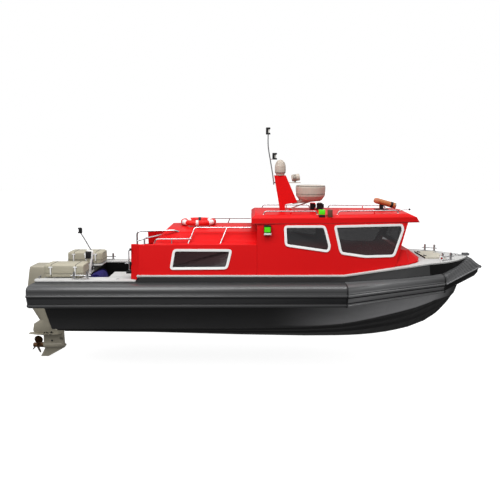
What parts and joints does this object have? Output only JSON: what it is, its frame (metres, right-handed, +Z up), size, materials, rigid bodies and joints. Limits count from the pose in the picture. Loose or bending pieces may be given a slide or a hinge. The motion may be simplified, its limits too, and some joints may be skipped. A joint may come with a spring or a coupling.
{
  "type": "passenger boat",
  "caption": "Fast cabin passenger boat with a raised wheelhouse, foam collar fender, roof mast with radar, stern life raft canisters and a tilting outboard engine.",
  "frame": {"origin": "on the centre line at the waterline, about amidships", "axes": "+X towards the bow, +Y to port, +Z up"},
  "size_m": [9.785, 3.3, 4.97],
  "materials": {
    "red_gelcoat": "glossy red moulded panels",
    "dark_hull": "near-black satin hull paint",
    "collar_grey": "dark grey foam collar skin",
    "deck_grey": "pale grey non-slip deck",
    "window_glass": "dark tinted pane in a white frame",
    "polished_steel": "polished stainless tube",
    "engine_beige": "beige-grey engine paint",
    "raft_beige": "beige moulded canister",
    "dome_beige": "beige-grey moulded dome",
    "black_plastic": "black horn housings",
    "red_lens": "red sidelight",
    "green_lens": "green sidelight",
    "blue_fabric": "deep blue cover",
    "searchlight_brown": "brown searchlight housing",
    "dark_bronze": "dark bronze propeller",
    "seat_grey": "dark grey seats and console"
  },
  "bodies": {
    "boat": {"hull": "dark_hull", "aft_deck_port": "deck_grey", "aft_deck_starboard": "deck_grey", "foredeck_and_gunwale": "deck_grey", "collar_aft_port": "collar_grey", "collar_aft_starboard": "collar_grey", "collar_fore_port": "collar_grey", "collar_fore_starboard": "collar_grey", "collar_bow": "collar_grey", "aft_cabin": "red_gelcoat", "wheelhouse": "red_gelcoat", "wheelhouse_roof": "red_gelcoat", "fore_trunk": "red_gelcoat", "window_aft_port": "window_glass", "window_aft_starboard": "window_glass", "window_middle_port": "window_glass", "window_middle_starboard": "window_glass", "window_fore_port": "window_glass", "window_fore_starboard": "window_glass", "windscreen": "window_glass", "cockpit_locker": "deck_grey", "cockpit_seat": "blue_fabric", "life_raft_port": "raft_beige", "life_raft_starboard": "raft_beige", "bollard_aft_port": "polished_steel", "bollard_aft_starboard": "polished_steel", "bollard_fore_port": "polished_steel", "bollard_fore_starboard": "polished_steel", "hoop_rail": "polished_steel", "trunk_rail_port": "polished_steel", "trunk_rail_starboard": "polished_steel", "stern_light": "polished_steel", "mast": "red_gelcoat", "radar": "dome_beige", "satellite_dome": "dome_beige", "masthead_lights": "polished_steel", "horns": "black_plastic", "searchlight": "searchlight_brown", "sidelight_port": "red_lens", "sidelight_starboard": "green_lens", "life_ring": "red_gelcoat", "bow_roller": "polished_steel", "helm_and_seats": "seat_grey", "clamp_bracket": "engine_beige"},
    "aft_door": {"aft_door": "red_gelcoat"},
    "fore_hatch": {"fore_hatch": "deck_grey"},
    "locker_lid": {"locker_lid": "deck_grey"},
    "engine_bracket": {"swivel_bracket": "engine_beige"},
    "engine": {"outboard_leg": "engine_beige", "outboard_cowl": "engine_beige"},
    "propeller": {"propeller": "dark_bronze"}
  },
  "joints": [
    {"name": "aft_door_hinge", "type": "hinge", "parent": "boat", "child": "aft_door", "pos_m": [-1.9653, 0.35, 0.9], "axis": [0, 0, -1], "range_deg": [0, 110]},
    {"name": "fore_hatch_hinge", "type": "hinge", "parent": "boat", "child": "fore_hatch", "pos_m": [4.105, 0, 1.1943], "axis": [0, 1, 0], "range_deg": [0, 100]},
    {"name": "locker_lid_hinge", "type": "hinge", "parent": "boat", "child": "locker_lid", "pos_m": [-2.4, -0.9, 0.88], "axis": [1, 0, 0], "range_deg": [0, 95]},
    {"name": "outboard_tilt", "type": "hinge", "parent": "boat", "child": "engine_bracket", "pos_m": [-4.16, 0, 0.3], "axis": [0, 1, 0], "range_deg": [0, 65]},
    {"name": "outboard_steering", "type": "hinge", "parent": "engine_bracket", "child": "engine", "pos_m": [-4.3, 0, 0.2], "axis": [0, 0, 1], "range_deg": [-30, 30]},
    {"name": "propeller_spin", "type": "hinge", "parent": "engine", "child": "propeller", "pos_m": [-4.69, 0, -0.82], "axis": [1, 0, 0], "continuous": true}
  ]
}
